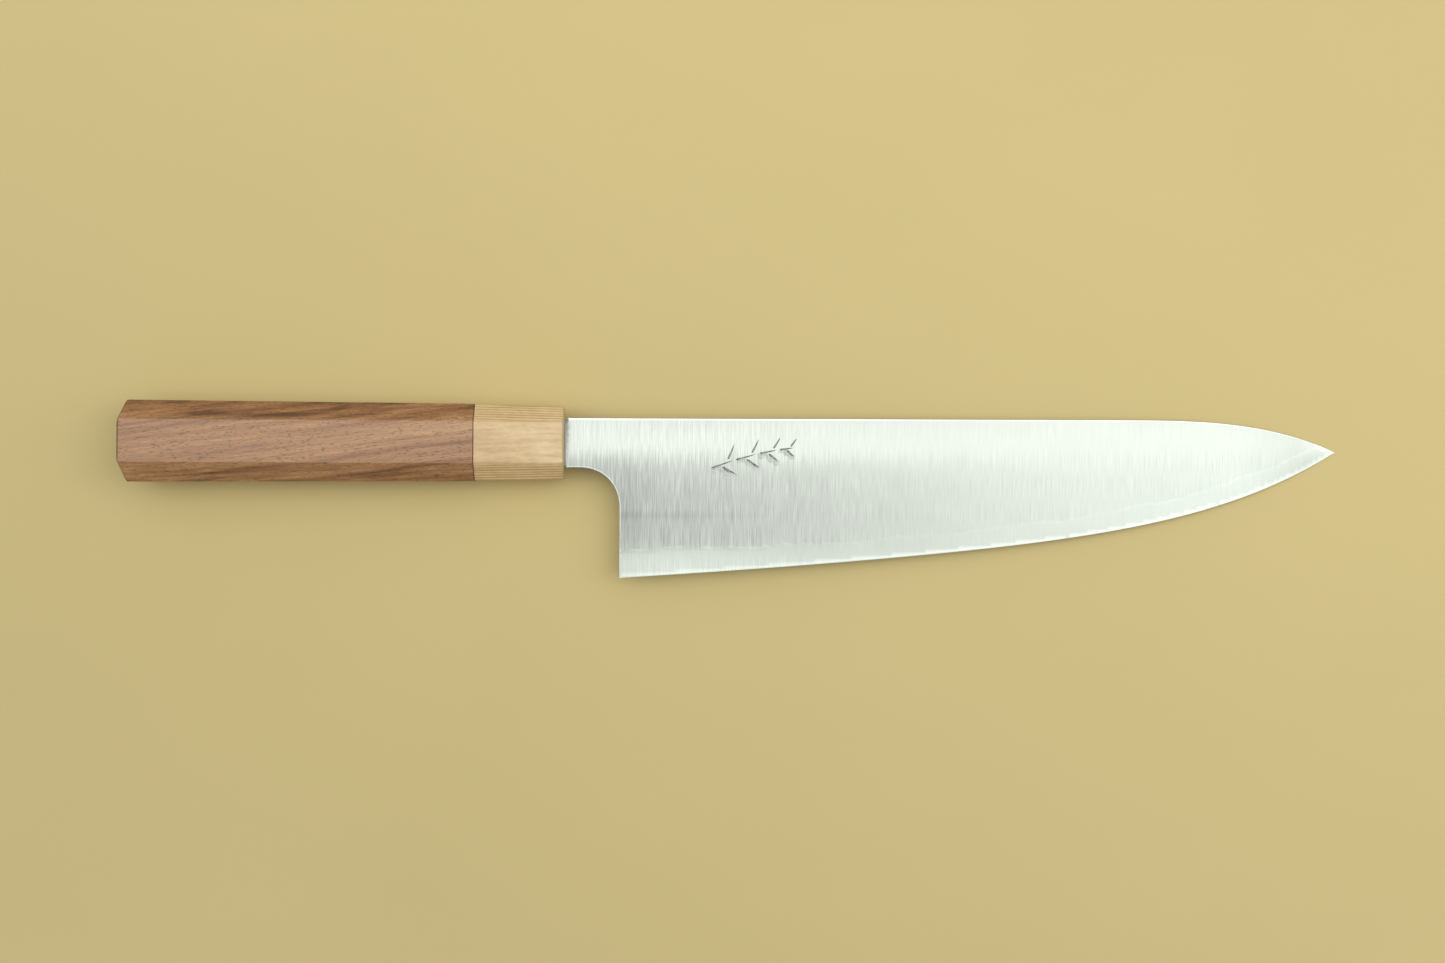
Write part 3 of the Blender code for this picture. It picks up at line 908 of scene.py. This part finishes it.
def place_in_mm(tree, turn=(0.0, 0.0, 0.0), warp=None):
    """The X, Y and Z of a point in the knife's axes, in millimetres, which may be turned and bent first."""
    vector = stretched(tree, (1.0, 1.0, 1.0), turn, warp)
    return add(tree, "SeparateXYZ", None, Vector=vector).outputs


def noise(tree, sizes, detail=3.0, roughness=0.5, turn=(0.0, 0.0, 0.0), warp=None):
    """Fractal noise with a mean of about 0.5, whose features are about as large as sizes in millimetres."""
    vector = stretched(tree, sizes, turn, warp)
    node = add(tree, "TexNoise", {"noise_dimensions": "3D"}, Vector=vector, Scale=1.0)
    node.inputs["Detail"].default_value = detail
    node.inputs["Roughness"].default_value = roughness
    return node.outputs[0]


def wobble(tree, sizes, amount):
    """A vector that wanders by up to about amount millimetres, to bend a texture with."""
    node = add(tree, "TexNoise", None, Vector=stretched(tree, sizes), Scale=1.0)
    centred = tree.nodes.new("ShaderNodeVectorMath")
    centred.operation = "MULTIPLY_ADD"
    fill(tree, centred.inputs[0], node.outputs["Color"])
    centred.inputs[1].default_value = [2 * size * MM for size in amount]
    centred.inputs[2].default_value = [-size * MM for size in amount]
    return centred.outputs[0]


def new_material(name):
    material = bpy.data.materials.new(name)
    material.use_nodes = True
    tree = material.node_tree
    return material, tree, tree.nodes["Principled BSDF"]


def bump(tree, height, distance, strength=1.0, below=None):
    node = add(tree, "Bump", None, Height=height, Distance=distance, Strength=strength)
    if below is not None:
        fill(tree, node.inputs["Normal"], below)
    return node.outputs[0]


def knife_direction(tree, x, y, z):
    """A direction in the knife's axes, turned to the world's."""
    settings = {"vector_type": "VECTOR", "convert_from": "OBJECT", "convert_to": "WORLD"}
    node = add(tree, "VectorTransform", settings)
    node.inputs[0].default_value = AXES.to_3x3() @ Vector((x, y, z))
    return node.outputs[0]


def steel_material(name, colour, roughness, scratch_share, heel_light):
    """Steel ground across its length: fine scratches along Y, strongest on the heel's end of the blade, with
    painted reflection bands and a painted highlight along its rubbed and honed edges.
    """
    material, tree, shader = new_material(name)
    place = place_in_mm(tree)
    hairs = noise(tree, (0.21, 9.0, 9.0), 2.0, 0.6)
    bundles = noise(tree, (0.8, 18.0, 18.0), 2.0, 0.6)
    columns = noise(tree, (4.5, 45.0, 45.0), 3.0, 0.55)
    clouds = noise(tree, (26.0, 9.0, 9.0), 2.0, 0.5)
    fine = around_one(tree, hairs, scratch_share)
    coarse = around_one(tree, bundles, scratch_share * 0.12)
    toward_tip = fit(tree, place["X"], 50.0, 115.0, 1.0, 0.32)
    toward_spine = fit(tree, place["Y"], -5.0, 0.0, 1.0, 0.55)
    strength = calc(tree, "MULTIPLY", toward_tip, toward_spine)
    light = between(tree, strength, 1.0, calc(tree, "MULTIPLY", fine, coarse))
    # Painted highlight: steel up to 1.6 times lighter along the rubbed and honed edges, partly polish and
    # partly the light they catch
    worn_edge_highlight = add(tree, "Attribute", {"attribute_name": "worn_edge_highlight"}).outputs["Fac"]
    for share in (
        fit(tree, place["X"], 25.0, 85.0, heel_light, 1.0),
        around_one(tree, columns, 0.012),
        around_one(tree, clouds, 0.012),
        painted_reflection_bands_and_darker_tip(tree, place),
        fit(tree, worn_edge_highlight, 0.0, 1.0, 1.0, 1.6),
    ):
        light = calc(tree, "MULTIPLY", light, share)
    light = calc(tree, "ADD", light, seam_flecks(tree, place))
    fill(tree, shader.inputs["Base Color"], times(tree, (*colour, 1.0), light))
    shader.inputs["Metallic"].default_value = 1.0
    dullness = spread(tree, columns, roughness * 0.9, roughness * 1.1)
    fill(tree, shader.inputs["Roughness"], dullness)
    shader.inputs["Anisotropic"].default_value = 1.0
    fill(tree, shader.inputs["Tangent"], knife_direction(tree, 1.0, 0.0, 0.0))
    ripple = noise(tree, (5.0, 9.0, 9.0), 2.0, 0.5)
    waved = bump(tree, ripple, 0.008 * MM)
    fill(tree, shader.inputs["Normal"], bump(tree, hairs, 0.002 * MM, 0.5, waved))
    return material


def painted_reflection_bands_and_darker_tip(tree, place):
    """Painted reflection: a faint dark band low on the heel's end and a greyer lower side of the neck,
    standing in for dimmer reflections there; and a darker tip.
    """
    # Painted shade standing in for the dark band and grey zone that the blade reflects
    dark_band_end = fit(tree, place["X"], 34.0, 78.0, 0.11, 0.0)
    streak = calc(tree, "MULTIPLY", hump(tree, place["Y"], -23.8, 1.5), dark_band_end)
    neck_end = fit(tree, place["X"], 18.0, 34.0, 1.0, 0.0)
    low_neck_painted_shade = calc(tree, "MULTIPLY", fit(tree, place["Y"], -6.0, -2.0, 0.12, 0.0), neck_end)
    light = calc(tree, "SUBTRACT", calc(tree, "SUBTRACT", 1.0, streak), low_neck_painted_shade)
    return calc(tree, "MULTIPLY", light, fit(tree, place["X"], 225.0, 246.0, 1.0, 0.91))


def seam_flecks(tree, place):
    """Light and dark flecks where the plies meet, which fade away from the heel's end."""
    seam = add(tree, "Attribute", {"attribute_name": "seam"}).outputs["Fac"]
    flecks = fit(tree, noise(tree, (2.4, 0.7, 0.7), 3.0, 0.6), 0.38, 0.66, -0.04, 0.20)
    flecks = calc(tree, "MULTIPLY", flecks, fit(tree, place["X"], 55.0, 115.0, 1.0, 0.2))
    return calc(tree, "MULTIPLY", seam, flecks)


def walnut_material():
    """Walnut with its grain rising slightly to the front, and dark on its end grain."""
    material, tree, shader = new_material("walnut_wood")
    warp = wobble(tree, (60.0, 14.0, 14.0), (0.0, 1.8, 1.8))
    turn = (0.0, 0.0, 7.0)
    place = place_in_mm(tree)
    fibres = noise(tree, (7.0, 0.34, 0.34), 3.0, 0.7, turn, warp)
    pores = noise(tree, (1.5, 0.42, 0.42), 1.0, 0.5, turn, warp)
    colour = ramp(
        tree,
        fit(tree, walnut_tone(tree, place, turn, warp), *TONE_RANGE),
        (0.0, 0.130, 0.048, 0.015),
        (0.3, 0.300, 0.132, 0.046),
        (0.6, 0.450, 0.232, 0.093),
        (1.0, 0.600, 0.360, 0.165),
    )
    end_grain = add(tree, "Attribute", {"attribute_name": "end_grain"}).outputs["Fac"]
    front = -(FERRULE_LENGTH + WOOD_JOINT_GAP) / MM
    light = spread(tree, fibres, 0.74, 1.26)
    for share in (
        fit(tree, pores, 0.58, 0.68, 1.0, 0.55),
        fit(tree, end_grain, 0.0, 1.0, 1.0, 0.40),
        fit(tree, place["X"], front - 0.35, front, 1.0, 0.55),
    ):
        light = calc(tree, "MULTIPLY", light, share)
    fill(tree, shader.inputs["Base Color"], times(tree, colour, light))
    fill(tree, shader.inputs["Roughness"], spread(tree, fibres, 0.38, 0.52))
    shader.inputs["Specular IOR Level"].default_value = 0.9
    pits = calc(tree, "MULTIPLY", fit(tree, pores, 0.60, 0.70), -0.5)
    fill(tree, shader.inputs["Normal"], bump(tree, calc(tree, "ADD", fibres, pits), 0.05 * MM, 0.6))
    return material


def walnut_tone(tree, place, turn, warp):
    """How pale the walnut is: streaks and bands along the grain, which the top facet shows less."""
    streaks = noise(tree, (75.0, 1.5, 2.2), 5.0, 0.66, turn, warp)
    bands = noise(tree, (150.0, 5.5, 8.0), 3.0, 0.5, turn, warp)
    tone = calc(tree, "ADD", calc(tree, "MULTIPLY", streaks, 0.6), calc(tree, "MULTIPLY", bands, 0.4))
    butt_end = fit(tree, place["X"], -80.0, -40.0, 0.06, 0.0)
    tone = calc(tree, "SUBTRACT", tone, calc(tree, "MULTIPLY", fit(tree, place["Y"], 6.0, 9.0), butt_end))
    across = place_in_mm(tree, turn, warp)["Y"]
    for middle, width, depth in DARK_STREAKS:
        streak = calc(tree, "MULTIPLY", hump(tree, across, middle, width), depth)
        tone = calc(tree, "SUBTRACT", tone, streak)
    even = calc(tree, "ADD", calc(tree, "MULTIPLY", tone, 0.6), 0.208)
    return between(tree, fit(tree, place["Z"], 9.4, 10.4), tone, even)


def pale_wood_material():
    """Pale wood in layers that lie flat, so that they show as lines along the bevels, with painted shade on
    its lower side.
    """
    material, tree, shader = new_material("pale_ferrule_wood")
    warp = wobble(tree, (30.0, 9.0, 9.0), (0.0, 1.0, 0.2))
    turn = (0.0, 0.0, 2.0)
    streaks = noise(tree, (20.0, 1.6, 0.55), 4.0, 0.6, turn, warp)
    mottle = noise(tree, (2.2, 0.9, 0.9), 3.0, 0.6, turn, warp)
    patches = noise(tree, (9.0, 6.0, 6.0), 2.0, 0.5)
    place = place_in_mm(tree, warp=warp)
    layers = calc(tree, "SINE", calc(tree, "MULTIPLY", place["Z"], 2 * math.pi / 0.8))
    layers = calc(tree, "MULTIPLY", layers, fit(tree, place["Z"], 8.8, 9.7, 0.15, 0.04))
    # Painted shade: the lower side is darker, standing in for the shade on the lower bevel
    lower_side_painted_shade = fit(tree, place["Y"], -9.0, -7.0, -0.07, 0.0)
    tone = calc(tree, "MULTIPLY", streaks, 0.5)
    for part in (
        calc(tree, "MULTIPLY", mottle, 0.3),
        calc(tree, "MULTIPLY", patches, 0.2),
        layers,
        lower_side_painted_shade,
    ):
        tone = calc(tree, "ADD", tone, part)
    colour = ramp(
        tree,
        fit(tree, tone, *TONE_RANGE),
        (0.0, 0.50, 0.310, 0.130),
        (0.5, 0.69, 0.480, 0.228),
        (1.0, 0.82, 0.640, 0.365),
    )
    fill(tree, shader.inputs["Base Color"], colour)
    shader.inputs["Specular IOR Level"].default_value = 0.9
    fill(tree, shader.inputs["Roughness"], spread(tree, mottle, 0.38, 0.5))
    fill(tree, shader.inputs["Normal"], bump(tree, mottle, 0.03 * MM, 0.5))
    return material


def plain_wood_material(name, dark, pale):
    material, tree, shader = new_material(name)
    streaks = noise(tree, (40.0, 1.2, 1.2), 4.0, 0.6)
    colour = ramp(tree, spread(tree, streaks), (0.0, *dark), (1.0, *pale))
    fill(tree, shader.inputs["Base Color"], colour)
    fill(tree, shader.inputs["Roughness"], spread(tree, streaks, 0.6, 0.75))
    fill(tree, shader.inputs["Normal"], bump(tree, streaks, 0.04 * MM, 0.5))
    return material


def resin_material(name, dark, pale, roughness):
    material, tree, shader = new_material(name)
    clouds = noise(tree, (1.8, 1.8, 1.8), 4.0, 0.6)
    colour = ramp(tree, spread(tree, clouds), (0.0, *dark), (1.0, *pale))
    fill(tree, shader.inputs["Base Color"], colour)
    fill(tree, shader.inputs["Roughness"], spread(tree, clouds, roughness - 0.08, roughness + 0.08))
    fill(tree, shader.inputs["Normal"], bump(tree, clouds, 0.05 * MM, 0.4))
    return material


# Studio


def build_floor():
    """Plain pale paper, with painted shade making it a little darker to the butt's lower corner, standing in
    for the light falling off there.
    """
    bm = bmesh.new()
    bmesh.ops.create_grid(bm, x_segments=8, y_segments=8, size=FLOOR_HALF_SIZE)
    mesh = bpy.data.meshes.new("floor")
    bm.to_mesh(mesh)
    bm.free()
    material, tree, shader = new_material("pale_paper")
    tone = noise(tree, (90.0, 60.0, 60.0), 3.0, 0.5)
    colour = ramp(tree, tone, (0.3, 0.678, 0.555, 0.252), (0.7, 0.690, 0.565, 0.257))
    place = place_in_mm(tree)
    lean_x = calc(tree, "MULTIPLY", place["X"], 0.23)
    lean_y = calc(tree, "MULTIPLY", place["Y"], 0.45)
    # Painted shade: the paper's colour falls off towards the butt's lower corner, standing in for the
    # light's falloff
    painted_falloff = fit(tree, calc(tree, "ADD", lean_x, lean_y), -80.0, 80.0, 0.87, 1.06)
    fill(tree, shader.inputs["Base Color"], times(tree, colour, painted_falloff))
    shader.inputs["Roughness"].default_value = 0.75
    shader.inputs["Specular IOR Level"].default_value = 0.2
    mesh.materials.append(material)
    floor = bpy.data.objects.new("floor", mesh)
    bpy.context.scene.collection.objects.link(floor)


def by_angle(stops):
    """Stops of (degrees from overhead, brightness), with the angle as a place from 0 to 1."""
    return [((angle + 90) / 180, height) for angle, height in stops]


def curve(tree, value, stops):
    """A value read off straight lines between stops, each (place, height)."""
    colour = ramp(tree, value, *[(place, height, height, height) for place, height in stops])
    return add(tree, "SeparateColor", None, Color=colour).outputs[0]


def build_light():
    """A soft studio sky: bright overhead and to the spine's side, falling away to dim plain walls."""
    world = bpy.data.worlds.new("studio")
    bpy.context.scene.world = world
    world.use_nodes = True
    tree = world.node_tree
    way = add(tree, "SeparateXYZ", None, Vector=add(tree, "TexCoord").outputs["Generated"]).outputs
    half_turns = calc(tree, "DIVIDE", calc(tree, "ARCTAN2", way["Y"], way["Z"]), math.pi)
    across = calc(tree, "ADD", half_turns, 0.5)
    along = calc(tree, "MULTIPLY_ADD", way["X"], 0.5, 0.5)
    ends, near, far = (curve(tree, across, by_angle(sky)) for sky in (SKY_ENDS, SKY_NEAR, SKY_FAR))
    panel = between(tree, fit(tree, way["X"], *SKY_TURN), near, far)
    level = between(tree, curve(tree, along, SKY_PANEL), ends, panel)
    level = calc(tree, "MULTIPLY", level, curve(tree, along, SKY_ALONG))
    level = between(tree, fit(tree, way["Z"], *SKY_WALL_TOP), SKY_WALLS, level)
    fill(tree, tree.nodes["Background"].inputs["Color"], grey(tree, level))
    tree.nodes["Background"].inputs["Strength"].default_value = SKY_STRENGTH
    bpy.context.scene.view_settings.view_transform = "Standard"


def build_camera():
    data = bpy.data.cameras.new("camera")
    data.lens = CAMERA_LENS
    data.sensor_width = 36.0
    camera = bpy.data.objects.new("camera", data)
    bpy.context.scene.collection.objects.link(camera)
    camera.location = AXES @ CAMERA_OVER + Vector((0.0, 0.0, CAMERA_HEIGHT))
    camera.rotation_euler = (0.0, 0.0, CAMERA_TURN)
    bpy.context.scene.camera = camera


def main():
    honed = steel_material(
        "core_steel_honed",
        colour=(0.42, 0.454, 0.408),
        roughness=0.15,
        scratch_share=0.10,
        heel_light=1.10,
    )
    brushed = steel_material(
        "cladding_steel_brushed",
        colour=(0.413, 0.441, 0.400),
        roughness=0.14,
        scratch_share=0.24,
        heel_light=1.01,
    )
    build_blade(honed, brushed)
    build_handle_body(walnut_material())
    build_ferrule(pale_wood_material())
    build_seal(resin_material("grey_mouth_resin", (0.36, 0.37, 0.32), (0.48, 0.49, 0.43), 0.5))
    dowel = plain_wood_material("pale_dowel_wood", (0.55, 0.38, 0.22), (0.74, 0.58, 0.38))
    epoxy = resin_material("amber_epoxy", (0.60, 0.48, 0.27), (0.72, 0.60, 0.38), 0.25)
    for node, material in (("handle_dowel", dowel), ("tang_epoxy", epoxy)):
        mesh = frame["nodes"][node].data
        mesh.materials.clear()
        mesh.materials.append(material)
    build_floor()
    build_light()
    build_camera()


main()
bpy.context.view_layer.update()
